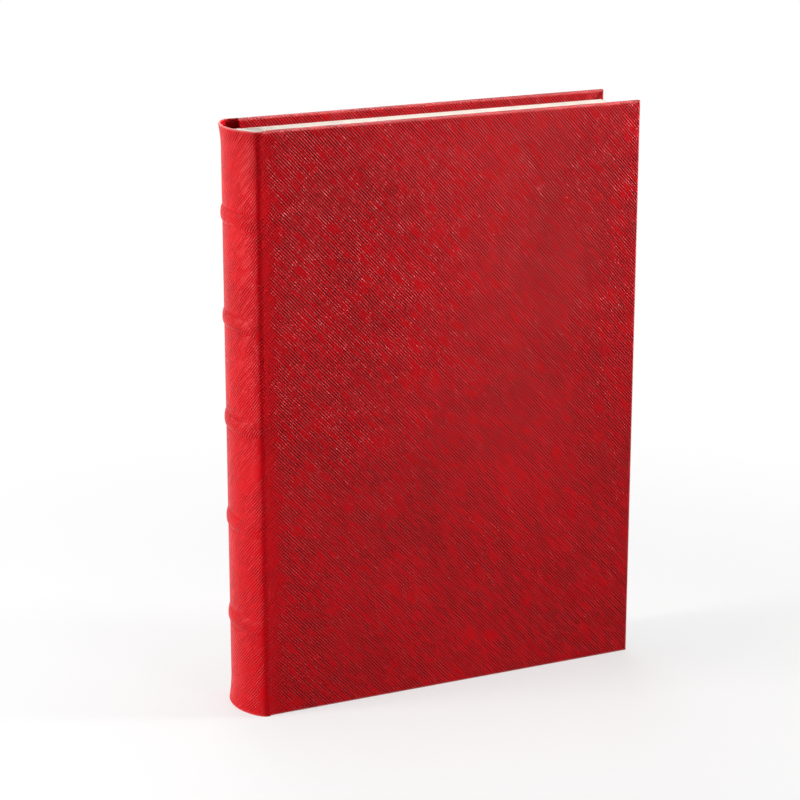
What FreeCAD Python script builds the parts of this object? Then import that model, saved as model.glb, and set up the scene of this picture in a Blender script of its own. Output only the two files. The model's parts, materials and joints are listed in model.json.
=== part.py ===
"""A stamp album bound in full leather: two boards, a hollow rounded spine with raised bands, and hinged stock leaves.

X runs from the spine to the fore-edge, Y from the front cover to the back cover, and Z up from the tail to the head.
The album stands on its tail, with the origin under the middle of its box.
"""
import FreeCAD, Part
import math
import os

import Sketcher

# Counts
LEAF_COUNT = 16
STRIPS_PER_PAGE = 9
BAND_COUNT = 5

# Driving dimensions, in millimetres and degrees
SIZES = {
    # Covers
    "cover_height": 310.0,
    "cover_width": 215.5,
    "board_thick": 3.0,
    "board_setback": 4.5,
    "leather_thick": 0.8,
    "turn_in_thick": 0.6,
    "turn_in_width": 16.0,
    "edge_round": 1.3,
    # Joints between the covers and the spine
    "joint_gap": 0.15,
    "joint_depth": 0.6,
    "joint_half_width": 3.2,
    # Spine
    "spine_reach": 10.5,
    "shoulder_round": 2.5,
    "inlay_thick": 1.2,
    "inlay_short": 6.0,
    "inlay_setback": 2.7,
    "glue_gap": 0.05,
    # Raised bands
    "band_tail_margin": 48.6,
    "band_head_margin": 45.8,
    "band_tall": 7.6,
    "band_crown": 3.2,
    "band_proud": 1.2,
    "band_seat": 0.4,
    "band_core_setback": 0.9,
    # Head and tail caps
    "cap_tall": 16.0,
    "cap_flare": 1.8,
    "cap_rim": 1.5,
    "cap_bevel": 0.5,
    # Page block
    "head_square": 4.8,
    "fore_edge_square": 2.5,
    "leaf_gap": 0.4,
    "leaf_hinge": 6.5,
    "gutter_wide": 6.0,
    "card_thick": 1.0,
    "linen_thick": 0.3,
    "linen_lap": 9.0,
    "linen_bead": 0.3,
    "linen_slip": 0.02,
    "guard_seam": 0.1,
    "running_gap": 0.3,
    "seat_gap": 0.3,
    # Endpapers
    "pastedown_thick": 0.3,
    "pastedown_margin": 6.0,
    "flyleaf_thick": 0.25,
    "flyleaf_bead": 0.2,
    "flyleaf_back": 1.5,
    "flyleaf_out": 0.5,
    "flyleaf_gap": 0.275,
    # Clear pocket strips
    "film_thick": 0.2,
    "pocket_gap": 0.1,
    "strip_weld": 3.0,
    "strip_margin": 4.0,
    "strip_foot": 3.0,
    "strip_overlap_room": 4.0,
}

doc = FreeCAD.newDocument("StampAlbum")
sheet = doc.addObject("Spreadsheet::Sheet", "Sizes")
for row, (alias, amount) in enumerate(SIZES.items(), start=1):
    sheet.set(f"A{row}", alias)
    sheet.set(f"B{row}", str(amount))
    sheet.setAlias(f"B{row}", alias)
doc.recompute()


def size(alias):
    """A sheet cell as it is written in an expression."""
    return f"Sizes.{alias}"


def number(expression):
    """What an expression comes to."""
    return float(sheet.evalExpression(str(expression)))


# Lengths that follow from the driving dimensions
HEIGHT = size("cover_height")
WIDTH = size("cover_width")
LEATHER = size("leather_thick")
LEAF_PITCH = f"({size('card_thick')} + 2 * ({size('pocket_gap')} + {size('film_thick')}) + {size('leaf_gap')})"
BLOCK_HALF = f"({LEAF_PITCH} * {LEAF_COUNT / 2})"
FLYLEAF_OUTSIDE = f"({size('flyleaf_out')} + {size('flyleaf_thick')} / 2)"
INNER_HALF = f"({BLOCK_HALF} + {FLYLEAF_OUTSIDE} + {size('flyleaf_gap')} + {size('pastedown_thick')})"
BOARD_INNER_HALF = f"({INNER_HALF} + {size('turn_in_thick')})"
BOARD_OUTER_HALF = f"({BOARD_INNER_HALF} + {size('board_thick')})"
COVER_HALF = f"({BOARD_OUTER_HALF} + {LEATHER})"
BLOCK_TALL = f"({HEIGHT} - 2 * {size('head_square')})"
PAGE_END = f"({WIDTH} - {size('fore_edge_square')})"
CARD_START = f"({size('leaf_hinge')} + {size('gutter_wide')})"
SPINE_OUT = f"({size('spine_reach')} + {size('cap_flare')})"
CENTRE_SHIFT = f"(({SPINE_OUT} - {WIDTH}) / 2)"


def round_back(reach):
    """The arc that runs through both shoulders and stands out by reach at the spine: its radius, its centre and how
    far it turns from one shoulder to the other."""
    rise = f"({reach} - {size('joint_half_width')})"
    radius = f"(({COVER_HALF} ^ 2 + {rise} ^ 2) / (2 * {rise}))"
    centre = f"({radius} - {reach})"
    spread = f"(2 * atan({COVER_HALF} / ({centre} + {size('joint_half_width')})))"
    return radius, centre, spread


SPINE_RADIUS, SPINE_CENTRE, _ = round_back(size("spine_reach"))
HOLLOW_HALF = f"({COVER_HALF} - {size('joint_depth')} - {LEATHER})"
INLAY_RADIUS = f"({SPINE_RADIUS} - {LEATHER} - {size('glue_gap')})"
INLAY_INSIDE = f"({INLAY_RADIUS} - {size('inlay_thick')})"
INLAY_HALF = f"({HOLLOW_HALF} - {size('inlay_setback')})"
GUARD_BACK = f"({SPINE_CENTRE} - sqrt({INLAY_INSIDE} ^ 2 - {BLOCK_HALF} ^ 2) + {size('seat_gap')})"
GUARD_FRONT = f"({size('leaf_hinge')} - {size('linen_bead')} - {size('running_gap')})"
BAND_REACH = f"({size('spine_reach')} + {size('band_proud')})"
_, BAND_CENTRE, BAND_SPREAD = round_back(BAND_REACH)
BAND_ROW = f"({HEIGHT} - {size('band_tail_margin')} - {size('band_head_margin')})"
CORE_REACH = f"({BAND_REACH} - {LEATHER})"
CORE_HALF = f"({INLAY_HALF} - {size('band_core_setback')})"
CORE_SPREAD = f"(2 * asin({CORE_HALF} / ({BAND_CENTRE} + {CORE_REACH})))"
CORE_FOOT = f"({size('spine_reach')} - {LEATHER} - {size('inlay_thick')})"
CORE_TALL = f"({size('band_tall')} - {LEATHER})"
CORE_CROWN = f"({size('band_crown')} - 2 * {LEATHER})"
STRIP_PITCH = f"(({BLOCK_TALL} - {size('strip_foot')}) / {STRIPS_PER_PAGE})"

# Two places nearer than this are one
NEAR = 1e-6

subparts = []


def new_body(label, shift_y="0"):
    """A sub-part whose sketches measure X from the joint line and Y from the middle of the album, or from shift_y."""
    body = doc.addObject("PartDesign::Body", label)
    body.Label = label
    body.setExpression("Placement.Base.x", CENTRE_SHIFT)
    body.setExpression("Placement.Base.y", shift_y)
    subparts.append(body)
    return body


def new_sketch(body, role, name, raised=None):
    """A sketch on one of the body's own origin planes, raised along the plane's normal."""
    plane = next(item for item in body.Origin.OriginFeatures if item.Role == role)
    sketch = body.newObject("Sketcher::SketchObject", name)
    sketch.AttachmentSupport = [(plane, "")]
    sketch.MapMode = "FlatFace"
    if raised:
        sketch.setExpression("AttachmentOffset.Base.z", raised)
    return sketch


def bind(sketch, kind, expression, *where):
    """A dimension in a sketch that takes its value from the sheet."""
    index = sketch.addConstraint(Sketcher.Constraint(kind, *where, number(expression)))
    sketch.setExpression(f"Constraints[{index}]", expression)


def outline(sketch, corners, arcs=None):
    """A closed outline through corners given as expressions. arcs maps a side to (radius, centre): side n runs
    from corner n to the next one as the shorter arc about that centre."""
    points = [FreeCAD.Vector(number(across), number(along), 0) for across, along in corners]
    first = sketch.GeometryCount
    count = len(points)
    starts = []
    for side, start in enumerate(points):
        end = points[(side + 1) % count]
        if arcs and side in arcs:
            radius, centre = arcs[side]
            middle = FreeCAD.Vector(number(centre[0]), number(centre[1]), 0)
            turn = (start - middle).cross(end - middle).z
            ends = (start, end) if turn > 0 else (end, start)
            angles = [math.atan2(p.y - middle.y, p.x - middle.x) for p in ends]
            circle = Part.Circle(middle, FreeCAD.Vector(0, 0, 1), number(radius))
            sketch.addGeometry(Part.ArcOfCircle(circle, *angles))
            starts.append(1 if turn > 0 else 2)
        else:
            sketch.addGeometry(Part.LineSegment(start, end))
            starts.append(1)
    for side in range(count):
        following = (side + 1) % count
        joint = Sketcher.Constraint(
            "Coincident", first + side, 3 - starts[side], first + following, starts[following]
        )
        sketch.addConstraint(joint)
    for side, (across, along) in enumerate(corners):
        bind(sketch, "DistanceX", across, -1, 1, first + side, starts[side])
        bind(sketch, "DistanceY", along, -1, 1, first + side, starts[side])
    for side, (radius, _) in (arcs or {}).items():
        bind(sketch, "Radius", radius, first + side)


def rectangle(sketch, low_x, high_x, low_y, high_y):
    """A rectangle given by expressions."""
    outline(sketch, [(low_x, low_y), (high_x, low_y), (high_x, high_y), (low_x, high_y)])


def pad(body, sketch, length, name):
    """Material added from a sketch along its plane's normal."""
    feature = body.newObject("PartDesign::Pad", name)
    feature.Profile = sketch
    feature.setExpression("Length", length)
    doc.recompute()
    return feature


def pocket(body, sketch, length, name):
    """Material cut from a sketch along its plane's normal."""
    feature = body.newObject("PartDesign::Pocket", name)
    feature.Profile = sketch
    feature.Reversed = True
    feature.setExpression("Length", length)
    doc.recompute()
    return feature


def turned(body, kind, sketch, axis_x, spread, name):
    """Material added (Revolution) or cut (Groove) by turning a sketch about an upright line at axis_x, as far to
    one side of the sketch as to the other."""
    top = number(HEIGHT)
    line = Part.LineSegment(FreeCAD.Vector(number(axis_x), 0, 0), FreeCAD.Vector(number(axis_x), top, 0))
    index = sketch.addGeometry(line, True)
    sketch.addConstraint(Sketcher.Constraint("Vertical", index))
    bind(sketch, "DistanceX", axis_x, -1, 1, index, 1)
    bind(sketch, "DistanceY", HEIGHT, index, 1, index, 2)
    sketch.addConstraint(Sketcher.Constraint("PointOnObject", index, 1, -1))
    feature = body.newObject(f"PartDesign::{kind}", name)
    feature.Profile = sketch
    feature.ReferenceAxis = (sketch, ["Axis0"])
    feature.Midplane = True
    feature.setExpression("Angle", spread)
    doc.recompute()
    return feature


def repeat(body, feature, direction, length, count, name):
    """A row of copies of one feature over a length."""
    pattern = body.newObject("PartDesign::LinearPattern", name)
    pattern.Originals = [feature]
    pattern.Direction = direction
    pattern.setExpression("Length", length)
    pattern.Occurrences = count
    body.Tip = pattern
    doc.recompute()
    return pattern


def round_edges(body, base, radius, wanted, name):
    """A fillet on the edges of the last feature that wanted picks."""
    edges = [f"Edge{n}" for n, edge in enumerate(base.Shape.Edges, start=1) if wanted(edge)]
    fillet = body.newObject("PartDesign::Fillet", name)
    fillet.Base = (base, edges)
    fillet.setExpression("Radius", radius)
    doc.recompute()
    return fillet


def straight(edge, direction):
    """Does an edge run along a direction?"""
    if edge.Curve.TypeId != "Part::GeomLine":
        return False
    return abs(abs(edge.Curve.Direction.dot(direction)) - 1) < NEAR


def side_of(side, expression):
    """A distance from the middle towards the front cover (side -1) or the back cover (side 1)."""
    return f"({side} * {expression})"


def make_board(name, side):
    """The stiff board inside a cover."""
    body = new_body(f"{name}_board")
    section = new_sketch(body, "XY_Plane", f"{name}_board_section", LEATHER)
    rectangle(
        section,
        size("board_setback"),
        f"({WIDTH} - {LEATHER})",
        side_of(side, BOARD_OUTER_HALF),
        side_of(side, BOARD_INNER_HALF),
    )
    pad(body, section, f"({HEIGHT} - 2 * {LEATHER})", f"{name}_board_slab")


def make_cover_leather(name, side):
    """The leather of one cover: wrapped round the board, turned in over its edges, and thin at the joint."""
    body = new_body(f"{name}_cover_leather")
    wrap_start = f"({size('board_setback')} - {LEATHER})"
    joint_outer = f"({COVER_HALF} - {size('joint_depth')})"
    joint_inner = f"({COVER_HALF} - {size('joint_depth')} - {LEATHER})"
    section = new_sketch(body, "XY_Plane", f"{name}_cover_section")
    outline(
        section,
        [
            (size("joint_gap"), side_of(side, joint_inner)),
            (size("joint_gap"), side_of(side, joint_outer)),
            (size("joint_half_width"), side_of(side, COVER_HALF)),
            (WIDTH, side_of(side, COVER_HALF)),
            (WIDTH, side_of(side, INNER_HALF)),
            (wrap_start, side_of(side, INNER_HALF)),
            (wrap_start, side_of(side, joint_inner)),
        ],
    )
    slab = pad(body, section, HEIGHT, f"{name}_cover_slab")

    def on_rim(edge):
        """The long edges of the slab at its fore-edge, head and tail."""
        box = edge.BoundBox
        if straight(edge, FreeCAD.Vector(0, 0, 1)):
            return abs(box.XMin - number(WIDTH)) < NEAR
        along = straight(edge, FreeCAD.Vector(1, 0, 0))
        return (along or straight(edge, FreeCAD.Vector(0, 1, 0))) and box.XMax > number(wrap_start) + NEAR

    round_edges(body, slab, size("edge_round"), on_rim, f"{name}_cover_rim")
    cavity = new_sketch(body, "XY_Plane", f"{name}_board_room_section", LEATHER)
    rectangle(
        cavity,
        size("board_setback"),
        f"({WIDTH} - {LEATHER})",
        side_of(side, BOARD_OUTER_HALF),
        side_of(side, BOARD_INNER_HALF),
    )
    pocket(body, cavity, f"({HEIGHT} - 2 * {LEATHER})", f"{name}_board_room")
    window = new_sketch(body, "XY_Plane", f"{name}_turn_in_section", size("turn_in_width"))
    rectangle(
        window,
        f"({size('board_setback')} + {size('turn_in_width')})",
        f"({WIDTH} - {size('turn_in_width')})",
        side_of(side, f"({BOARD_INNER_HALF} + {size('board_thick')} / 2)"),
        side_of(side, f"({INNER_HALF} - {size('turn_in_thick')})"),
    )
    pocket(body, window, f"({HEIGHT} - 2 * {size('turn_in_width')})", f"{name}_turn_ins")


def make_pastedown(name, side):
    """The paper inside a cover, over the turn-ins, on an infill that levels the board between them."""
    body = new_body(f"{name}_pastedown")
    sheet_half = f"({INNER_HALF} - {size('pastedown_thick')})"
    paper = new_sketch(body, "XY_Plane", f"{name}_pastedown_section", size("pastedown_margin"))
    rectangle(
        paper,
        size("board_setback"),
        f"({WIDTH} - {size('pastedown_margin')})",
        side_of(side, sheet_half),
        side_of(side, INNER_HALF),
    )
    pad(body, paper, f"({HEIGHT} - 2 * {size('pastedown_margin')})", f"{name}_pastedown_sheet")
    infill = new_sketch(body, "XY_Plane", f"{name}_infill_section", size("turn_in_width"))
    rectangle(
        infill,
        f"({size('board_setback')} + {size('turn_in_width')})",
        f"({WIDTH} - {size('turn_in_width')})",
        side_of(side, INNER_HALF),
        side_of(side, BOARD_INNER_HALF),
    )
    pad(body, infill, f"({HEIGHT} - 2 * {size('turn_in_width')})", f"{name}_infill")


def make_hinged_sheet(label, shift_y, hinge_x, bead, thick, end_x):
    """A sheet in an upright plane whose spine edge is a round bead on its hinge line."""
    body = new_body(label, shift_y)
    half = f"({thick} / 2)"
    neck = f"({hinge_x} + sqrt({bead} ^ 2 - {half} ^ 2))"
    section = new_sketch(body, "XY_Plane", f"{label}_section", size("head_square"))
    low, high = f"(-1 * {half})", half
    outline(section, [(neck, low), (end_x, low), (end_x, high), (neck, high)])
    pad(body, section, BLOCK_TALL, f"{label}_sheet")
    bead_section = new_sketch(body, "XY_Plane", f"{label}_bead_section", size("head_square"))
    middle = FreeCAD.Vector(number(hinge_x), 0, 0)
    bead_section.addGeometry(Part.Circle(middle, FreeCAD.Vector(0, 0, 1), number(bead)))
    bind(bead_section, "DistanceX", hinge_x, -1, 1, 0, 3)
    bead_section.addConstraint(Sketcher.Constraint("PointOnObject", 0, 3, -1))
    bind(bead_section, "Radius", bead, 0)
    pad(body, bead_section, BLOCK_TALL, f"{label}_bead")


def make_flyleaf(name, side):
    """The free leaf of an endpaper."""
    shift_y = side_of(side, f"({BLOCK_HALF} + {size('flyleaf_out')})")
    hinge_x = f"({size('leaf_hinge')} - {size('flyleaf_back')})"
    make_hinged_sheet(
        f"{name}_flyleaf", shift_y, hinge_x, size("flyleaf_bead"), size("flyleaf_thick"), PAGE_END
    )


def make_leaf(index):
    """One stock leaf: a card with a linen tongue let into its spine edge, and clear strips on both pages."""
    label = f"leaf_{index:02d}"
    shift_y = f"({LEAF_PITCH} * {index - (LEAF_COUNT + 1) / 2})"
    make_hinged_sheet(
        f"{label}_linen",
        shift_y,
        size("leaf_hinge"),
        size("linen_bead"),
        size("linen_thick"),
        f"({CARD_START} + {size('linen_lap')})",
    )

    card = new_body(f"{label}_card", shift_y)
    half = f"({size('card_thick')} / 2)"
    slot = f"({size('linen_thick')} / 2 + {size('linen_slip')})"
    slot_end = f"({CARD_START} + {size('linen_lap')} + {size('linen_slip')})"
    section = new_sketch(card, "XY_Plane", f"{label}_card_section", size("head_square"))
    outline(
        section,
        [
            (CARD_START, f"(-1 * {half})"),
            (PAGE_END, f"(-1 * {half})"),
            (PAGE_END, half),
            (CARD_START, half),
            (CARD_START, slot),
            (slot_end, slot),
            (slot_end, f"(-1 * {slot})"),
            (CARD_START, f"(-1 * {slot})"),
        ],
    )
    pad(card, section, BLOCK_TALL, f"{label}_card_sheet")

    strips = new_body(f"{label}_strips", shift_y)
    profile = new_sketch(
        strips, "YZ_Plane", f"{label}_strip_section", f"({CARD_START} + {size('strip_margin')})"
    )
    foot = f"({size('head_square')} + {size('strip_foot')})"
    weld_top = f"({foot} + {size('strip_weld')})"
    film_top = f"({foot} + {STRIP_PITCH} - {size('strip_overlap_room')})"
    film_inner = f"({half} + {size('pocket_gap')})"
    film_outer = f"({film_inner} + {size('film_thick')})"
    for page in (-1, 1):
        outline(
            profile,
            [
                (side_of(page, half), foot),
                (side_of(page, film_outer), foot),
                (side_of(page, film_outer), film_top),
                (side_of(page, film_inner), film_top),
                (side_of(page, film_inner), weld_top),
                (side_of(page, half), weld_top),
            ],
        )
    length = f"({PAGE_END} - {CARD_START} - 2 * {size('strip_margin')})"
    lowest = pad(strips, profile, length, f"{label}_strip")
    reach = f"({STRIP_PITCH} * {STRIPS_PER_PAGE - 1})"
    repeat(strips, lowest, (profile, ["V_Axis"]), reach, STRIPS_PER_PAGE, f"{label}_strip_row")


def make_guard_stubs():
    """The bound back of the page block: one guard behind the hinge of each leaf."""
    body = new_body("guard_stubs")
    section = new_sketch(body, "XY_Plane", "guard_section", size("head_square"))
    low = f"({size('guard_seam')} / 2 - {BLOCK_HALF})"
    rectangle(section, GUARD_BACK, GUARD_FRONT, low, f"({low} + {LEAF_PITCH} - {size('guard_seam')})")
    first = pad(body, section, BLOCK_TALL, "first_guard")
    reach = f"({LEAF_PITCH} * {LEAF_COUNT - 1})"
    repeat(body, first, (section, ["V_Axis"]), reach, LEAF_COUNT, "guard_row")


def band_section(body, name, reach, foot, tall, crown):
    """The section of the lowest raised band on the album's middle plane: its sides slope from its foot, which is tall,
    to its crown, which stands out by reach."""
    sketch = new_sketch(body, "XZ_Plane", name)
    level = size("band_tail_margin")
    back, front = f"(-1 * {foot})", f"(-1 * {reach})"
    outline(
        sketch,
        [
            (back, f"({level} - {tall} / 2)"),
            (back, f"({level} + {tall} / 2)"),
            (front, f"({level} + {crown} / 2)"),
            (front, f"({level} - {crown} / 2)"),
        ],
    )
    return sketch


def cap_profile(body, name, end, tall, depth):
    """The section of a cap: it flares from the spine to its rim and is bevelled there. end is 0 at the tail and 1 at
    the head, and depth is how far the section lies inside the outer leather."""
    sketch = new_sketch(body, "XZ_Plane", name)

    def level(distance):
        """The height at a distance from the cap's end."""
        return distance if end == 0 else f"({HEIGHT} - {distance})"

    waist = f"({size('spine_reach')} - {size('band_seat')} - {depth})"
    lip = f"({SPINE_OUT} - {depth})"
    rise = f"({tall} - {size('cap_bevel')})"
    swing = f"({lip} - {waist})"
    hollow_radius = f"(({rise} ^ 2 + {swing} ^ 2) / (2 * {swing}))"
    hollow_centre = (f"(-1 * ({waist} + {hollow_radius}))", level(tall))
    inside = f"({size('spine_reach')} - {size('band_seat')} - {size('cap_rim')} - {size('cap_bevel')})"
    outline(
        sketch,
        [
            (f"(-1 * {inside})", level(tall)),
            (f"(-1 * {waist})", level(tall)),
            (f"(-1 * {lip})", level(size("cap_bevel"))),
            (f"(-1 * ({lip} - {size('cap_bevel')}))", level("0")),
            (f"(-1 * {inside})", level("0")),
        ],
        {1: (hollow_radius, hollow_centre)},
    )
    return sketch


def make_spine_leather():
    """The leather of the spine: a hollow round back drawn over five raised bands, with flared caps at both ends."""
    body = new_body("spine_leather")
    section = new_sketch(body, "XY_Plane", "spine_section")
    edge_x = f"(-1 * {size('joint_gap')})"
    shoulder_x = f"(-1 * {size('joint_half_width')})"
    edge_half = f"({COVER_HALF} - {size('joint_depth')})"
    outline(
        section,
        [
            (edge_x, side_of(-1, edge_half)),
            (edge_x, edge_half),
            (shoulder_x, COVER_HALF),
            (shoulder_x, side_of(-1, COVER_HALF)),
        ],
        {2: (SPINE_RADIUS, (SPINE_CENTRE, "0"))},
    )
    back = pad(body, section, HEIGHT, "round_back")

    def on_shoulder(edge):
        """The two upright edges where the round back meets the joints."""
        upright = straight(edge, FreeCAD.Vector(0, 0, 1))
        return upright and abs(edge.BoundBox.XMin - number(shoulder_x)) < NEAR

    round_edges(body, back, size("shoulder_round"), on_shoulder, "shoulders")

    foot = f"({size('spine_reach')} - {size('band_seat')})"
    ridge = band_section(body, "band_section", BAND_REACH, foot, size("band_tall"), size("band_crown"))
    band = turned(body, "Revolution", ridge, BAND_CENTRE, BAND_SPREAD, "lowest_band")
    repeat(body, band, (ridge, ["V_Axis"]), BAND_ROW, BAND_COUNT, "band_row")

    _, cap_centre, cap_spread = round_back(SPINE_OUT)
    for end, name in enumerate(("tail", "head")):
        flare = cap_profile(body, f"{name}_cap_section", end, size("cap_tall"), "0")
        turned(body, "Revolution", flare, cap_centre, cap_spread, f"{name}_cap")

    hollow = new_sketch(body, "XY_Plane", "hollow_section")
    inner_radius = f"({SPINE_RADIUS} - {LEATHER})"
    inner_x = f"({SPINE_CENTRE} - sqrt({inner_radius} ^ 2 - {HOLLOW_HALF} ^ 2))"
    outline(
        hollow,
        [
            (size("joint_gap"), side_of(-1, HOLLOW_HALF)),
            (size("joint_gap"), HOLLOW_HALF),
            (inner_x, HOLLOW_HALF),
            (inner_x, side_of(-1, HOLLOW_HALF)),
        ],
        {2: (inner_radius, (SPINE_CENTRE, "0"))},
    )
    pocket(body, hollow, HEIGHT, "hollow_back")

    room_reach = f"({CORE_REACH} + {size('glue_gap')})"
    room_tall = f"({CORE_TALL} + 2 * {size('glue_gap')})"
    room_crown = f"({CORE_CROWN} + 2 * {size('glue_gap')})"
    core = band_section(body, "band_room_section", room_reach, CORE_FOOT, room_tall, room_crown)
    room = turned(body, "Groove", core, BAND_CENTRE, CORE_SPREAD, "lowest_band_room")
    repeat(body, room, (core, ["V_Axis"]), BAND_ROW, BAND_COUNT, "band_room_row")
    for end, name in enumerate(("tail", "head")):
        mouth = cap_profile(body, f"{name}_mouth_section", end, size("cap_tall"), size("cap_rim"))
        turned(body, "Groove", mouth, cap_centre, cap_spread, f"{name}_mouth")


def make_spine_inlay():
    """The curved card that keeps the hollow back round."""
    body = new_body("spine_inlay")
    section = new_sketch(body, "XY_Plane", "inlay_section", size("inlay_short"))
    half_spread = math.asin(number(INLAY_HALF) / number(INLAY_RADIUS))
    middle = FreeCAD.Vector(number(SPINE_CENTRE), 0, 0)
    up = FreeCAD.Vector(0, 0, 1)
    low_turn, high_turn = math.pi - half_spread, math.pi + half_spread
    for radius in (INLAY_RADIUS, INLAY_INSIDE):
        circle = Part.Circle(middle, up, number(radius))
        section.addGeometry(Part.ArcOfCircle(circle, low_turn, high_turn))
    ends = [[arc.StartPoint, arc.EndPoint] for arc in section.Geometry]
    for end in (0, 1):
        section.addGeometry(Part.LineSegment(ends[0][end], ends[1][end]))
        section.addConstraint(Sketcher.Constraint("Coincident", 2 + end, 1, 0, 1 + end))
        section.addConstraint(Sketcher.Constraint("Coincident", 2 + end, 2, 1, 1 + end))
    section.addConstraint(Sketcher.Constraint("Coincident", 0, 3, 1, 3))
    section.addConstraint(Sketcher.Constraint("PointOnObject", 0, 3, -1))
    bind(section, "DistanceX", SPINE_CENTRE, -1, 1, 0, 3)
    bind(section, "Radius", INLAY_RADIUS, 0)
    bind(section, "Radius", INLAY_INSIDE, 1)
    edge_inside = f"({INLAY_HALF} * {INLAY_INSIDE} / {INLAY_RADIUS})"
    for arc, across in enumerate((INLAY_HALF, edge_inside)):
        bind(section, "DistanceY", across, -1, 1, arc, 1)
        bind(section, "DistanceY", side_of(-1, across), -1, 1, arc, 2)
    pad(body, section, f"({HEIGHT} - 2 * {size('inlay_short')})", "inlay_card")


def make_raised_bands():
    """The five strips glued across the inlay that raise the leather into bands."""
    body = new_body("raised_bands")
    ridge = band_section(body, "band_core_section", CORE_REACH, CORE_FOOT, CORE_TALL, CORE_CROWN)
    core = turned(body, "Revolution", ridge, BAND_CENTRE, CORE_SPREAD, "lowest_core")
    cut = new_sketch(body, "XY_Plane", "inlay_face_section")
    middle = FreeCAD.Vector(number(SPINE_CENTRE), 0, 0)
    face_radius = f"({INLAY_RADIUS} + {size('glue_gap')} / 2)"
    cut.addGeometry(Part.Circle(middle, FreeCAD.Vector(0, 0, 1), number(face_radius)))
    bind(cut, "DistanceX", SPINE_CENTRE, -1, 1, 0, 3)
    cut.addConstraint(Sketcher.Constraint("PointOnObject", 0, 3, -1))
    bind(cut, "Radius", face_radius, 0)
    repeat(body, core, (ridge, ["V_Axis"]), BAND_ROW, BAND_COUNT, "core_row")
    pocket(body, cut, HEIGHT, "inlay_face")


for cover, cover_side in (("front", -1), ("back", 1)):
    make_board(cover, cover_side)
    make_cover_leather(cover, cover_side)
    make_pastedown(cover, cover_side)
    make_flyleaf(cover, cover_side)
make_spine_leather()
make_spine_inlay()
make_raised_bands()
make_guard_stubs()
for leaf in range(1, LEAF_COUNT + 1):
    make_leaf(leaf)
doc.recompute()

for item in doc.Objects:
    if {"Invalid", "Error"} & set(item.State):
        raise RuntimeError(f"{item.Label} failed: {item.State}")
for subpart in subparts:
    if subpart.Shape.isNull() or not subpart.Shape.isValid():
        raise RuntimeError(f"{subpart.Label} has no valid shape")

os.makedirs("parts", exist_ok=True)
for subpart in subparts:
    subpart.Shape.exportStep(f"parts/{subpart.Label}.step")
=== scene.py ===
import json
import math

import bmesh
import bpy
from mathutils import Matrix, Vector

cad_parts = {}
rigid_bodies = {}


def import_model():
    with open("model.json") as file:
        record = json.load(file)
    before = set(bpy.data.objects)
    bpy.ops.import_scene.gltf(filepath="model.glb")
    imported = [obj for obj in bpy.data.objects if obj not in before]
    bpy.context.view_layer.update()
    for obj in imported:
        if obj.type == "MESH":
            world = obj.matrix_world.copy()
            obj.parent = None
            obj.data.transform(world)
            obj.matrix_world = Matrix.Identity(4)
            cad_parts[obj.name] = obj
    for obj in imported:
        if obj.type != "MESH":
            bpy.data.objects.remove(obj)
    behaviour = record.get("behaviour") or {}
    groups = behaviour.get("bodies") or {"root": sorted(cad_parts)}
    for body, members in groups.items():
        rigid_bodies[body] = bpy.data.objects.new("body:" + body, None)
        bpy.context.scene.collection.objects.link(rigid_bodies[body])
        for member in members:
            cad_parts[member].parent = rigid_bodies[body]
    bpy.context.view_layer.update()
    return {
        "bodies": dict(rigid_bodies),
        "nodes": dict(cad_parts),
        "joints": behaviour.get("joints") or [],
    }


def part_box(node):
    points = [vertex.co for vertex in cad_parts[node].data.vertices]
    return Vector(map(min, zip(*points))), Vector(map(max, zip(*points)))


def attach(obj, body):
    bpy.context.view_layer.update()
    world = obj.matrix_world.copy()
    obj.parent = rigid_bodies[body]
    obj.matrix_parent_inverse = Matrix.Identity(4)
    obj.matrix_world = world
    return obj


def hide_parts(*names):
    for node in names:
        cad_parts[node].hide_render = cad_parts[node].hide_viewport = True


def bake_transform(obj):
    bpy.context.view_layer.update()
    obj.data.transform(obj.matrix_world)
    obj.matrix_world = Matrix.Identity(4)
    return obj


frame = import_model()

MM = 0.001

# Sizes read from the construction
hinges = {joint["name"]: joint["pos_m"] for joint in frame["joints"]}
front_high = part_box("front_cover_leather")[1]
back_low, back_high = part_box("back_cover_leather")
spine_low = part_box("spine_leather")[0]
card_low, card_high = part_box("leaf_01_card")
fly_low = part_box("front_flyleaf")[0]
guard_low, guard_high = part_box("guard_stubs")
pastedown_low, pastedown_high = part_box("front_pastedown")
JOINT_X = hinges["front_cover_hinge"][0]
HEIGHT = front_high.z
FORE_EDGE = front_high.x
COVER_HALF = back_high.y
COVER_THICK = back_high.y - back_low.y
LEAF_BODIES = sorted(name for name in frame["bodies"] if name.startswith("leaf_"))
LEAF_PITCH = hinges["leaf_02_hinge"][1] - hinges["leaf_01_hinge"][1]
PASTEDOWN_HALF = -pastedown_high.y

# Sizes of the leather
LEATHER_THICK = 0.55 * MM
CAP_THICK = 1.1 * MM
CAP_FLARE = 1.8 * MM
CAP_TALL = 14 * MM
CAP_LIP_ROUND = 0.45 * MM
# How far in from each end of the spine the painted highlight on the cap lips reaches.
CAP_HIGHLIGHT_REACH = 0.9 * MM
BAND_PROUD = 1.3 * MM
BAND_TALL = 7.8 * MM
BAND_FULLNESS = 2.2
BAND_STEEPNESS = 0.75
BAND_CREASE_WIDE = 1.4 * MM
BAND_CREASE_DEEP = 0.3 * MM
BAND_TAIL_MARGIN = 48.6 * MM
BAND_HEAD_MARGIN = 45.8 * MM
BAND_COUNT = 5
JOINT_HALF_WIDTH = 3.2 * MM
SHOULDER_PROUD = 0.6 * MM
RIM_ROUND = 1.3 * MM
RIM_STEPS = 4
TURN_IN_SHARES = (0.15, 0.35, 0.6, 1.0)
TURN_IN = 15 * MM
MITRE_START = 1.5 * MM
MITRE_GAP = 1.0 * MM
BOARD_START = 4.5 * MM
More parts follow.
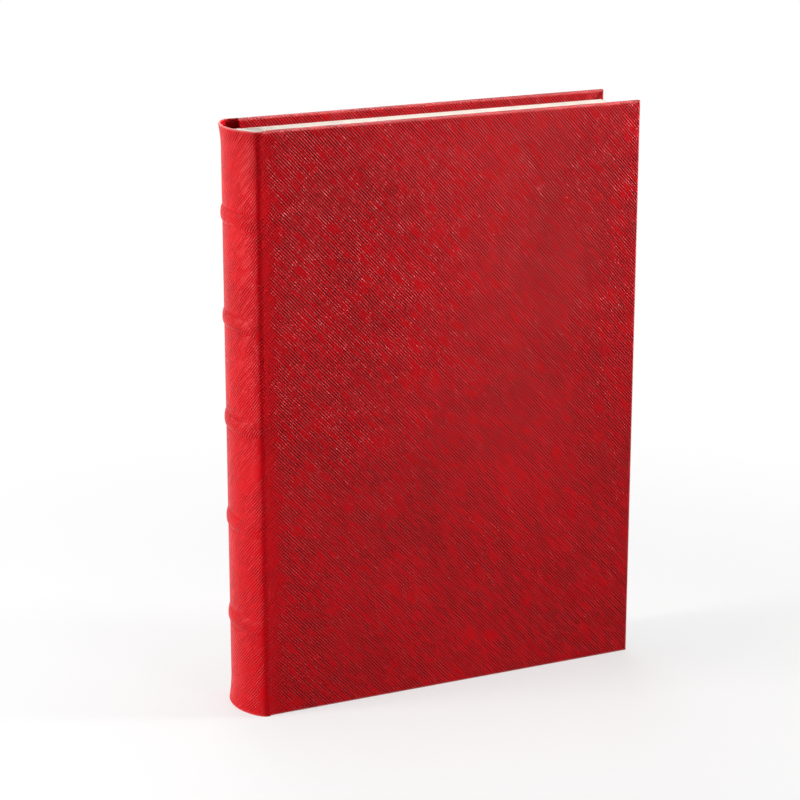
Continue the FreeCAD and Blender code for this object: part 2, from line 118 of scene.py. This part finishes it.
SPINE_REACH = JOINT_X - spine_low.x - CAP_FLARE
SHARP_TURN = math.radians(38)
NEAR = 1e-6
MERGE_ROOM = 0.01 * MM


def new_piece(name, bm, material, smooth=True):
    """A finished mesh as an object at the origin."""
    mesh = bpy.data.meshes.new(name)
    bm.to_mesh(mesh)
    bm.free()
    if smooth:
        mesh.shade_smooth()
        mesh.set_sharp_from_angle(angle=SHARP_TURN)
    piece = bpy.data.objects.new(name, mesh)
    bpy.context.scene.collection.objects.link(piece)
    mesh.materials.append(material)
    return piece


def add(material, kind, inputs=None, **settings):
    """A shader node with its settings, and its inputs given as values or as another node's output."""
    node = material.node_tree.nodes.new(kind)
    for name, value in settings.items():
        setattr(node, name, value)
    for name, value in (inputs or {}).items():
        socket = node.inputs[name]
        if isinstance(value, bpy.types.NodeSocket):
            material.node_tree.links.new(value, socket)
        else:
            socket.default_value = value
    return node


def new_material(name, **sockets):
    """A material with its shader's constant sockets set."""
    material = bpy.data.materials.new(name)
    material.use_nodes = True
    shader = material.node_tree.nodes["Principled BSDF"]
    for socket, value in sockets.items():
        shader.inputs[socket.replace("_", " ")].default_value = value
    return material, shader


def join(material, output, shader, socket):
    """Links an output to one of the shader's sockets."""
    material.node_tree.links.new(output, shader.inputs[socket])


def ramp(material, factor, *stops):
    """Colours along a factor, each stop a place and a colour."""
    node = add(material, "ShaderNodeValToRGB", {"Fac": factor})
    band = node.color_ramp
    while len(band.elements) < len(stops):
        band.elements.new(0.5)
    for element, (place, colour) in zip(band.elements, stops):
        element.position = place
        element.color = (*colour, 1)
    return node.outputs["Color"]


def spread(material, value, low, high, to_low=0.0, to_high=1.0):
    """A value stretched smoothly from one range to another."""
    limits = {"Value": value, "From Min": low, "From Max": high, "To Min": to_low, "To Max": to_high}
    return add(material, "ShaderNodeMapRange", limits, interpolation_type="SMOOTHSTEP").outputs["Result"]


def reckon(material, operation, *values):
    """Arithmetic on values."""
    return add(material, "ShaderNodeMath", dict(enumerate(values)), operation=operation).outputs["Value"]


def noise(material, vector, scale, detail=2.0, roughness=0.5):
    """A cloudy pattern."""
    inputs = {"Vector": vector, "Scale": scale, "Detail": detail, "Roughness": roughness}
    return add(material, "ShaderNodeTexNoise", inputs)


# Section of the spine

SPINE_COLUMNS = 44
SPINE_ROWS = 900
ARC_SHARE = 0.8
SHOULDER_SHARE = 0.15
SHOULDER_SOFTENING = 16
SHOULDER_HALF = COVER_HALF + SHOULDER_PROUD
SEAM_SHARE = 0.42
SEAM_HALF = COVER_HALF + SEAM_SHARE * SHOULDER_PROUD
JOINT_SLOPE = math.hypot(JOINT_HALF_WIDTH, SHOULDER_HALF - SEAM_HALF)


def band_swell(distance):
    """The rounded section of a raised band: proud on its crown, falling steeply to the crease nipped in at
    its foot."""
    half = BAND_TALL / 2
    if abs(distance) < half:
        return BAND_PROUD * (1 - (abs(distance) / half) ** BAND_FULLNESS) ** BAND_STEEPNESS
    across_crease = abs(abs(distance) - half - BAND_CREASE_WIDE / 2) / (BAND_CREASE_WIDE / 2)
    return -BAND_CREASE_DEEP * (1 - min(1.0, across_crease) ** 2)


def spine_reach_at(level):
    """How far the back of the spine stands out at a level: plain, raised over a band or flared at a cap."""
    pitch = (HEIGHT - BAND_TAIL_MARGIN - BAND_HEAD_MARGIN) / (BAND_COUNT - 1)
    reach = SPINE_REACH
    for band in range(BAND_COUNT):
        reach += band_swell(level - BAND_TAIL_MARGIN - band * pitch)
    from_end = min(level, HEIGHT - level)
    if from_end < CAP_TALL:
        reach += CAP_FLARE * (1 - from_end / CAP_TALL) ** 2
    return reach


def round_back(reach, share):
    """A point on the arc through both shoulders that stands out by reach, and its distance along the skin
    from the middle of the spine. share runs from -1 at the front shoulder to 1 at the back one."""
    rise = reach - JOINT_HALF_WIDTH
    radius = (SHOULDER_HALF ** 2 + rise ** 2) / (2 * rise)
    centre = radius - reach
    angle = share * math.atan2(SHOULDER_HALF, centre + JOINT_HALF_WIDTH)
    return JOINT_X + centre - radius * math.cos(angle), radius * math.sin(angle), radius * angle


HALF_SPINE = round_back(SPINE_REACH, 1.0)[2] + JOINT_SLOPE


# Leather

GRAIN_PITCH = 1.27 * MM
GRAIN_TURN = math.radians(43)
GRAIN_DEEP = 0.75 * MM
DASHES_PER_METRE = (560, 90, 1)
PORES_PER_METRE = 2400.0
PATCHES_PER_METRE = 60.0
CLOUDS_PER_METRE = 14.0
WAVE_PERIOD = math.pi / 10
SPINE_TO_COVER = (HALF_SPINE, HALF_SPINE + 12 * MM)


def grain_ridges(material, skin, turn, seed):
    """One family of embossed ridges, a little wavy and broken into long dashes: above 0 on a ridge, below 0
    in a groove and 0 where the skin is plain."""
    turned = add(
        material, "ShaderNodeMapping", {"Vector": skin, "Rotation": (0, 0, turn)}
    ).outputs["Vector"]
    wave_inputs = {
        "Vector": turned,
        "Scale": WAVE_PERIOD / GRAIN_PITCH,
        "Distortion": 2.2,
        "Detail": 1.5,
        "Detail Scale": 0.22,
        "Detail Roughness": 0.5,
    }
    wave = add(material, "ShaderNodeTexWave", wave_inputs).outputs["Fac"]
    stretched = add(
        material,
        "ShaderNodeMapping",
        {"Vector": turned, "Location": (seed, seed, 0), "Scale": DASHES_PER_METRE},
    ).outputs["Vector"]
    dashes = noise(material, stretched, 1.0, 1.5).outputs["Fac"]
    centred = reckon(material, "SUBTRACT", wave, 0.5)
    return reckon(material, "MULTIPLY", centred, spread(material, dashes, 0.38, 0.56, 0.2, 1.0))


def cross_grain_leather():
    """Red leather embossed with two crossing families of fine slanted ridges."""
    material, shader = new_material(
        "red_cross_grain_leather", Specular_IOR_Level=0.12, Specular_Tint=(1, 0.55, 0.55, 1)
    )
    skin = add(material, "ShaderNodeUVMap", uv_map="skin").outputs["UV"]
    falling = grain_ridges(material, skin, -GRAIN_TURN, 3.0)
    rising = grain_ridges(material, skin, GRAIN_TURN, 11.0)
    patches = noise(material, skin, PATCHES_PER_METRE, 3.0).outputs["Fac"]
    depth = spread(material, patches, 0.34, 0.6, 0.6, 1.0)
    across = add(material, "ShaderNodeSeparateXYZ", {"Vector": skin}).outputs["X"]
    from_middle = reckon(material, "ABSOLUTE", reckon(material, "ADD", across, HALF_SPINE))
    falling_share = spread(material, from_middle, *SPINE_TO_COVER, 0.16, 0.78)
    rising_share = spread(material, from_middle, *SPINE_TO_COVER, 0.32, 0.24)
    crossed = reckon(
        material,
        "MULTIPLY_ADD",
        falling,
        falling_share,
        reckon(material, "MULTIPLY", rising, rising_share),
    )
    pores = noise(material, skin, PORES_PER_METRE, 2.0).outputs["Fac"]
    pitted = reckon(material, "MULTIPLY_ADD", pores, 0.03, 0.485)
    height = reckon(material, "MULTIPLY_ADD", crossed, depth, pitted)
    # The grooves are darkened in the colour as painted shade, and the crests made a little paler as a faint
    # painted highlight, besides the shading the bump gives.
    colour = ramp(
        material,
        height,
        (0.3, (0.16, 0.0003, 0.0012)),
        (0.465, (0.53, 0.0009, 0.005)),
        (0.57, (0.585, 0.0013, 0.0065)),
        (0.82, (0.71, 0.015, 0.023)),
    )
    clouds = noise(material, skin, CLOUDS_PER_METRE, 4.0).outputs["Fac"]
    tone = spread(material, clouds, 0.3, 0.7, 0.88, 1.06)
    toned = add(
        material, "ShaderNodeVectorMath", {0: colour, "Scale": tone}, operation="SCALE"
    ).outputs["Vector"]
    # Painted highlight: a pale pink mixed into the colour along the rounded board edges and the cap lips,
    # broken up by the pores.
    highlight_mask = add(material, "ShaderNodeAttribute", attribute_name="worn").outputs["Fac"]
    highlight_share = reckon(material, "MULTIPLY", highlight_mask, spread(material, pores, 0.3, 0.6, 0.45, 1.0))
    finished = add(
        material, "ShaderNodeMix", {0: highlight_share, 6: toned, 7: (0.72, 0.13, 0.13, 1)}, data_type="RGBA"
    ).outputs[2]
    join(material, finished, shader, "Base Color")
    join(material, spread(material, height, 0.34, 0.7, 0.5, 0.22), shader, "Roughness")
    bump = add(material, "ShaderNodeBump", {"Height": height, "Distance": GRAIN_DEEP})
    join(material, bump.outputs["Normal"], shader, "Normal")
    return material


leather = cross_grain_leather()


# Paper, card, cloth and film

FIBRE_DEEP = 0.04 * MM
THREAD_PITCH = 0.55 * MM
THREAD_DEEP = 0.12 * MM
RIPPLE_DEEP = 0.2 * MM


def fibre_paper(name, pale, dark, fibre_scale, roughness):
    """Uncoated paper or card with faint fibres and cloudy tone."""
    material, shader = new_material(name, Roughness=roughness, Specular_IOR_Level=0.2)
    place = add(material, "ShaderNodeTexCoord").outputs["Object"]
    clouds = noise(material, place, 60.0, 4.0).outputs["Fac"]
    fibres = noise(material, place, fibre_scale, 5.0, 0.7).outputs["Fac"]
    both = reckon(material, "MULTIPLY_ADD", fibres, 0.5, reckon(material, "MULTIPLY", clouds, 0.5))
    join(material, ramp(material, both, (0.3, dark), (0.62, pale)), shader, "Base Color")
    bump = add(material, "ShaderNodeBump", {"Height": fibres, "Distance": FIBRE_DEEP})
    join(material, bump.outputs["Normal"], shader, "Normal")
    return material


def woven_linen():
    """Fine plain weave, in the upright plane of a leaf."""
    material, shader = new_material("hinge_linen_weave", Roughness=0.85, Specular_IOR_Level=0.2)
    place = add(material, "ShaderNodeTexCoord").outputs["Object"]
    threads = []
    for turn in (0.0, math.pi / 2):
        turned = add(
            material, "ShaderNodeMapping", {"Vector": place, "Rotation": (0, turn, 0)}
        ).outputs["Vector"]
        wave = {"Vector": turned, "Scale": WAVE_PERIOD / THREAD_PITCH, "Distortion": 0.6, "Detail": 1.0}
        threads.append(add(material, "ShaderNodeTexWave", wave).outputs["Fac"])
    weave = reckon(material, "MAXIMUM", *threads)
    colour = ramp(material, weave, (0.2, (0.55, 0.52, 0.45)), (0.9, (0.8, 0.77, 0.7)))
    join(material, colour, shader, "Base Color")
    bump = add(material, "ShaderNodeBump", {"Height": weave, "Distance": THREAD_DEEP})
    join(material, bump.outputs["Normal"], shader, "Normal")
    return material


def clear_film():
    """Clear film with faint ripples."""
    material, shader = new_material(
        "clear_strip_film", Base_Color=(0.9, 0.93, 0.95, 1), Alpha=0.2, IOR=1.5
    )
    place = add(material, "ShaderNodeTexCoord").outputs["Object"]
    ripples = noise(material, place, 25.0, 1.0).outputs["Fac"]
    join(material, spread(material, ripples, 0.3, 0.7, 0.06, 0.14), shader, "Roughness")
    bump = add(material, "ShaderNodeBump", {"Height": ripples, "Distance": RIPPLE_DEEP})
    join(material, bump.outputs["Normal"], shader, "Normal")
    return material


leaf_card = fibre_paper("leaf_card_stock", (0.86, 0.82, 0.74), (0.79, 0.74, 0.65), 900.0, 0.7)
endpaper = fibre_paper("endpaper_sheet", (0.8, 0.76, 0.66), (0.72, 0.67, 0.56), 700.0, 0.75)
guard_paper = fibre_paper("guard_paper_stock", (0.86, 0.84, 0.78), (0.76, 0.73, 0.65), 1200.0, 0.8)
interleaf_paper = fibre_paper("interleaf_paper", (0.88, 0.88, 0.85), (0.82, 0.81, 0.77), 500.0, 0.55)
grey_board = fibre_paper("grey_board", (0.2, 0.18, 0.15), (0.1, 0.09, 0.075), 1500.0, 0.9)
linen = woven_linen()
film = clear_film()

node_finish = {"board": grey_board, "inlay": grey_board, "bands": grey_board, "pastedown": endpaper,
               "flyleaf": endpaper, "stubs": guard_paper, "card": leaf_card, "linen": linen, "strips": film}
for node_name, node in frame["nodes"].items():
    finish = node_finish.get(node_name.rsplit("_", 1)[-1], leather)
    node.data.materials.clear()
    node.data.materials.append(finish)


# Leather skins


def thicken(bm, thickness):
    """Gives an open skin its thickness, inwards."""
    bmesh.ops.solidify(bm, geom=bm.faces, thickness=thickness)


def write_skin_map(bm, across, up):
    """The unrolled place of each corner as a UV map, in metres."""
    skin = bm.loops.layers.uv.new("skin")
    for face in bm.faces:
        for loop in face.loops:
            loop[skin].uv = (loop.vert[across], loop.vert[up])


def make_spine_skin():
    """The leather of the spine, from the seam in the front joint to the seam in the back one."""
    bm = bmesh.new()
    bmesh.ops.create_grid(bm, x_segments=SPINE_COLUMNS, y_segments=SPINE_ROWS, size=1.0)
    across = bm.verts.layers.float.new("across")
    up = bm.verts.layers.float.new("up")
    shoulders = []
    for vert in bm.verts:
        share, level = vert.co.x, HEIGHT * (vert.co.y + 1) / 2
        side = math.copysign(1.0, share)
        x, y, along = round_back(spine_reach_at(level), side * min(1.0, abs(share) / ARC_SHARE))
        down = max(0.0, (abs(share) - ARC_SHARE) / (1 - ARC_SHARE))
        x += down * JOINT_HALF_WIDTH
        y -= side * down * (SHOULDER_HALF - SEAM_HALF)
        vert.co = (x, y, level)
        vert[across] = -HALF_SPINE - along - side * down * JOINT_SLOPE
        vert[up] = level
        if abs(abs(share) - ARC_SHARE) < SHOULDER_SHARE:
            shoulders.append(vert)
    for _ in range(SHOULDER_SOFTENING):
        bmesh.ops.smooth_vert(bm, verts=shoulders, factor=0.5, use_axis_x=True, use_axis_y=True)
    bmesh.ops.reverse_faces(bm, faces=bm.faces)
    thicken(bm, CAP_THICK)
    lips = [edge for edge in bm.edges if edge.calc_face_angle(0) > SHARP_TURN
            and abs(edge.verts[0].co.z - edge.verts[1].co.z) < NEAR]
    bmesh.ops.bevel(
        bm, geom=lips, offset=CAP_LIP_ROUND, segments=3, profile=0.5, affect="EDGES", material=-1
    )
    # Painted highlight along the cap lips: its share is 1 at each end of the spine and fades to 0 a short way
    # in.
    worn = bm.verts.layers.float.new("worn")
    for vert in bm.verts:
        from_end = min(vert.co.z, HEIGHT - vert.co.z)
        vert[worn] = max(0.0, 1 - from_end / CAP_HIGHLIGHT_REACH)
    write_skin_map(bm, across, up)
    skin = new_piece("spine_skin", bm, leather)
    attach(skin, "binding")
    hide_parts("spine_leather")


def rim_profile():
    """The places of the leather round the edge of a board: how far out of the flat face, how deep below it,
    and how strongly a painted highlight pales its colour there, most midway round each rounded edge."""
    quarter = math.pi / 2 / RIM_STEPS
    places = []
    for step in range(1, RIM_STEPS + 1):
        turn = step * quarter
        places.append((RIM_ROUND * math.sin(turn), RIM_ROUND * (1 - math.cos(turn)), math.sin(2 * turn)))
    for step in range(RIM_STEPS + 1):
        turn = step * quarter
        depth = COVER_THICK - RIM_ROUND * (1 - math.sin(turn))
        places.append((RIM_ROUND * math.cos(turn), depth, math.sin(2 * turn)))
    for share in TURN_IN_SHARES:
        places.append((-share * (TURN_IN - RIM_ROUND), COVER_THICK, 0.0))
    return places


def extrude_rim(bm, edges):
    """New edges beside the given ones, with a face between, and their corners."""
    made = bmesh.ops.extrude_edge_only(bm, edges=edges)["geom"]
    fresh = {item for item in made if isinstance(item, bmesh.types.BMVert)}
    beside = [item for item in made if isinstance(item, bmesh.types.BMEdge) and set(item.verts) <= fresh]
    return beside, fresh


CROWDING = 0.85


def crowded_ends(share):
    """A share of a length, with places crowded towards both ends."""
    return share - CROWDING * math.sin(2 * math.pi * share) / (2 * math.pi)


COVER_COLUMNS = 44
COVER_ROWS = 60
JOINT_STEPS = 10
WRAP_OUT = 0.7 * MM
WRAP_HALF = COVER_HALF - 0.9 * MM


def joint_fall(share):
    """How proud of the cover the joint lies: from the seam, at 0, down to the flat face, at 1."""
    return (SEAM_HALF - COVER_HALF) * (1 - share) ** 2


def open_mitres(bm):
    """Cuts the turned-in leather along the diagonal of each corner and draws the cut edges a little apart."""

    def on_mitre(vert):
        """Whether a point of the skin lies on the diagonal of a turn-in."""
        turned_in = abs(abs(vert.co.y) - COVER_HALF + COVER_THICK) < NEAR
        from_end = min(vert.co.z, HEIGHT - vert.co.z)
        on_diagonal = abs(FORE_EDGE - vert.co.x - from_end) < MERGE_ROOM
        return turned_in and on_diagonal and from_end > MITRE_START

    cut = [edge for edge in bm.edges if all(on_mitre(vert) for vert in edge.verts)]
    bmesh.ops.split_edges(bm, edges=cut)
    for vert in [vert for vert in bm.verts if on_mitre(vert) and vert.is_boundary]:
        faces = vert.link_faces
        middle = sum((face.calc_center_median() for face in faces), Vector()) / len(faces)
        up_sign = math.copysign(1.0, HEIGHT / 2 - vert.co.z)
        from_end = min(middle.z, HEIGHT - middle.z)
        if from_end < FORE_EDGE - middle.x:
            vert.co.x -= MITRE_GAP / 2
        else:
            vert.co.z += up_sign * MITRE_GAP / 2


def make_cover_skin(name, side):
    """The leather of one cover: its flat face, rolled over the edges of the board, turned in and mitred, with
    the slope of the joint at its spine edge. side is -1 at the front and 1 at the back."""
    bm = bmesh.new()
    bmesh.ops.create_grid(bm, x_segments=COVER_COLUMNS, y_segments=COVER_ROWS, size=0.5)
    layers = [bm.verts.layers.float.new(word) for word in ("across", "up", "out_x", "out_z", "worn")]
    across, up, out_x, out_z, worn = layers
    start, end = JOINT_X + BOARD_START, FORE_EDGE - RIM_ROUND
    for vert in bm.verts:
        share_x, share_z = vert.co.x + 0.5, vert.co.y + 0.5
        x = start + (end - start) * crowded_ends(share_x)
        level = RIM_ROUND + (HEIGHT - 2 * RIM_ROUND) * crowded_ends(share_z)
        vert.co = (x, side * COVER_HALF, level)
        vert[across], vert[up] = x - JOINT_X, level
        vert[out_x] = 1 if share_x > 1 - NEAR else 0
        vert[out_z] = 1 if share_z > 1 - NEAR else -1 if share_z < NEAR else 0

    def round_an_edge(edge):
        """Whether an edge lies along the head, the tail or the fore-edge."""
        one, two = edge.verts
        return edge.is_boundary and (one[out_x] * two[out_x] or one[out_z] * two[out_z])

    rim = [edge for edge in bm.edges if round_an_edge(edge)]
    out_before, depth_before = 0.0, 0.0
    # Each ring of the rounded rim takes its share of painted highlight, highest midway round each curve.
    for out, depth, highlight_strength in rim_profile():
        rim, fresh = extrude_rim(bm, rim)
        run = math.hypot(out - out_before, depth - depth_before)
        for vert in fresh:
            vert.co.x = min(vert.co.x + vert[out_x] * (out - out_before), end + out)
            vert.co.z += vert[out_z] * (out - out_before)
            vert.co.z = min(max(vert.co.z, RIM_ROUND - out), HEIGHT - RIM_ROUND + out)
            vert.co.y -= side * (depth - depth_before)
            vert[across] += vert[out_x] * run
            vert[up] += vert[out_z] * run
            vert[worn] = highlight_strength
        out_before, depth_before = out, depth
    bmesh.ops.remove_doubles(bm, verts=bm.verts, dist=MERGE_ROOM)
    shallow = COVER_HALF - RIM_ROUND - NEAR
    joint = [edge for edge in bm.edges if edge.is_boundary
             and all(vert.co.x < start + NEAR and abs(vert.co.y) > shallow for vert in edge.verts)]
    wrap = [edge for edge in bm.edges if edge.is_boundary
            and all(vert.co.x < start + NEAR for vert in edge.verts) and edge not in joint]
    wrap, fresh = extrude_rim(bm, wrap)
    for vert in fresh:
        vert.co.x -= WRAP_OUT
    wrap, fresh = extrude_rim(bm, wrap)
    for vert in fresh:
        vert.co.y = side * WRAP_HALF
    for step in range(JOINT_STEPS):
        joint, fresh = extrude_rim(bm, joint)
        rise = joint_fall(1 - (step + 1) / JOINT_STEPS) - joint_fall(1 - step / JOINT_STEPS)
        for vert in fresh:
            vert.co.x -= BOARD_START / JOINT_STEPS
            vert.co.y += side * rise
            vert[across] -= BOARD_START / JOINT_STEPS
    if side > 0:
        for vert in bm.verts:
            vert[across] = -2 * HALF_SPINE - vert[across]
    bmesh.ops.recalc_face_normals(bm, faces=bm.faces)
    flat = max(bm.faces, key=lambda face: face.calc_area())
    if flat.normal.y * side < 0:
        bmesh.ops.reverse_faces(bm, faces=bm.faces)
    open_mitres(bm)
    thicken(bm, LEATHER_THICK)
    write_skin_map(bm, across, up)
    skin = new_piece(f"{name}_cover_skin", bm, leather)
    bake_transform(skin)
    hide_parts(f"{name}_cover_leather")


make_spine_skin()
make_cover_skin("front", -1)
make_cover_skin("back", 1)


# Endpaper hinges

ENDPAPER_THICK = 0.12 * MM
FOLD_STEPS = 24
GLUE_ROOM = 0.17 * MM
FLYLEAF_ROOM = 0.2 * MM
PASTEDOWN_ROOM = 0.05 * MM


def make_endpaper_hinge(name, side):
    """The folded strip of paper between the page block and a pastedown."""
    block_half = guard_high.y + GLUE_ROOM
    cover_half = PASTEDOWN_HALF + ENDPAPER_THICK / 2
    fold = (cover_half - block_half) / 2
    leg = fly_low.x - JOINT_X - FLYLEAF_ROOM
    bm = bmesh.new()
    foot = bm.verts.new((JOINT_X + leg, side * block_half, guard_low.z))
    head = bm.verts.new((JOINT_X + leg, side * block_half, guard_high.z))
    strip = [bm.edges.new((foot, head))]
    places = [(JOINT_X, block_half)]
    for step in range(1, FOLD_STEPS + 1):
        turn = math.pi * step / FOLD_STEPS
        places.append((JOINT_X - fold * math.sin(turn), block_half + fold * (1 - math.cos(turn))))
    places.append((pastedown_low.x - PASTEDOWN_ROOM, cover_half))
    for x, half in places:
        strip, fresh = extrude_rim(bm, strip)
        for vert in fresh:
            vert.co.x, vert.co.y = x, side * half
    bmesh.ops.recalc_face_normals(bm, faces=bm.faces)
    bm.faces.ensure_lookup_table()
    if bm.faces[0].normal.y * side < 0:
        bmesh.ops.reverse_faces(bm, faces=bm.faces)
    thicken(bm, ENDPAPER_THICK)
    hinge = new_piece(f"{name}_endpaper_hinge", bm, endpaper)
    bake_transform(hinge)


make_endpaper_hinge("front", -1)
make_endpaper_hinge("back", 1)


# Interleaves

INTERLEAF_THICK = 0.1 * MM
INTERLEAF_SHORT = 0.6 * MM
INTERLEAF_INSET = 2 * MM
RIPPLE_HIGH = 0.06 * MM
RIPPLE_TURN = 9
TRIM_TURN = 2.4


def make_interleaf(body, offset, index):
    """A thin sheet beside one leaf, a little shorter than its card."""
    middle = hinges[f"{body}_hinge"][1] + offset
    bm = bmesh.new()
    bmesh.ops.create_grid(bm, x_segments=24, y_segments=4, size=0.5)
    trim = INTERLEAF_SHORT * (0.6 + 0.4 * math.sin(index * TRIM_TURN))
    low_x, high_x = card_low.x + INTERLEAF_INSET, card_high.x - trim
    low_z, high_z = card_low.z, card_high.z - trim
    for vert in bm.verts:
        across, up = vert.co.x + 0.5, vert.co.y + 0.5
        wave = RIPPLE_HIGH * math.sin(across * RIPPLE_TURN + index)
        vert.co = (low_x + (high_x - low_x) * across, middle + wave, low_z + (high_z - low_z) * up)
    sheet = new_piece(f"{body}_interleaf_{index:02d}", bm, interleaf_paper)
    wall = sheet.modifiers.new("wall", "SOLIDIFY")
    wall.thickness = INTERLEAF_THICK
    wall.offset = 0
    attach(sheet, body)


half_count = len(LEAF_BODIES) // 2
for index, body in enumerate(LEAF_BODIES):
    make_interleaf(body, -LEAF_PITCH / 2 if index < half_count else LEAF_PITCH / 2, index)
make_interleaf(LEAF_BODIES[half_count - 1], LEAF_PITCH / 2, len(LEAF_BODIES))


# Floor, light and camera

AMBIENT = 0.06
FLOOR_BOUNCE = 0.12
FLOOR_RADIUS = 30
FLOOR_WHITENS = (0.12, 0.5)
MIDDLE = (0, 0, HEIGHT / 2)

def white_ray(material):
    """1 for rays that should see a white background, 0 for the rays that light the object."""
    path = add(material, "ShaderNodeLightPath").outputs
    seen = reckon(material, "MAXIMUM", path["Is Camera Ray"], path["Is Glossy Ray"])
    return reckon(material, "MAXIMUM", seen, path["Is Transmission Ray"])


def make_floor():
    """A pale floor that is white away from the album and takes its shadow beside it."""
    bm = bmesh.new()
    bmesh.ops.create_circle(bm, cap_ends=True, segments=64, radius=FLOOR_RADIUS)
    material, shader = new_material("pale_floor", Roughness=0.9)
    place = add(material, "ShaderNodeTexCoord").outputs["Object"]
    away = add(material, "ShaderNodeVectorMath", {0: place}, operation="LENGTH").outputs["Value"]
    glow_share = spread(material, away, *FLOOR_WHITENS, 0.6, 1.0)
    glow = add(material, "ShaderNodeEmission", {"Color": (1, 1, 1, 1), "Strength": 1.0}).outputs["Emission"]
    seen = white_ray(material)
    pale = spread(material, seen, 0.0, 1.0, FLOOR_BOUNCE, 0.9)
    join(material, pale, shader, "Base Color")
    share = reckon(material, "MULTIPLY", seen, glow_share)
    layers = {0: share, 1: shader.outputs["BSDF"], 2: glow}
    mix = add(material, "ShaderNodeMixShader", layers).outputs["Shader"]
    output = material.node_tree.nodes["Material Output"]
    material.node_tree.links.new(mix, output.inputs["Surface"])
    floor = new_piece("floor", bm, material, smooth=False)


def make_world():
    """White to the camera, and a softer even light for the object."""
    world = bpy.data.worlds.new("studio")
    bpy.context.scene.world = world
    world.use_nodes = True
    background = world.node_tree.nodes["Background"]
    strength = spread(world, white_ray(world), 0.0, 1.0, AMBIENT, 1.0)
    world.node_tree.links.new(strength, background.inputs["Strength"])
    background.inputs["Color"].default_value = (1, 1, 1, 1)


def soft_box(name, place, aim, width, height, power, beam=180):
    """A rectangular lamp aimed at a point, with a grid that narrows its beam to an angle in degrees."""
    lamp = bpy.data.lights.new(name, "AREA")
    lamp.shape = "RECTANGLE"
    lamp.size, lamp.size_y = width, height
    lamp.energy = power
    lamp.spread = math.radians(beam)
    box = bpy.data.objects.new(name, lamp)
    box.location = place
    beam_line = Vector(aim) - Vector(place)
    box.rotation_euler = beam_line.to_track_quat("-Z", "Y").to_euler()
    bpy.context.scene.collection.objects.link(box)


make_floor()
make_world()
soft_box("left_box", (-1.22, 0.18, 0.22), MIDDLE, 0.3, 0.6, 22)
soft_box("raking_box", (0.95, -0.46, 0.58), (-0.03, -0.02, 0.37), 0.2, 0.3, 1.06, beam=40)
soft_box("low_front_box", (0.4, -1.25, 0.25), (0.03, 0, -0.06), 0.5, 0.3, 0.58, beam=40)
soft_box("top_box", (0.1, 0.1, 1.4), MIDDLE, 0.9, 0.6, 9.5)
soft_box("back_box", (0.4, 1.5, 0.8), MIDDLE, 0.9, 0.6, 7)

CAMERA_PLACE = (-0.5662, -1.1593, 0.5308)
CAMERA_TURN = math.radians(25.38)
CAMERA_TILT = math.radians(16.26)
CAMERA_LENS = 113.7
camera = bpy.data.objects.new("camera", bpy.data.cameras.new("camera"))
camera.data.lens = CAMERA_LENS
camera.data.sensor_width = 36
camera.location = CAMERA_PLACE
camera.rotation_euler = (math.pi / 2 - CAMERA_TILT, 0, -CAMERA_TURN)
bpy.context.scene.collection.objects.link(camera)
bpy.context.scene.camera = camera
bpy.context.scene.view_settings.view_transform = "Standard"
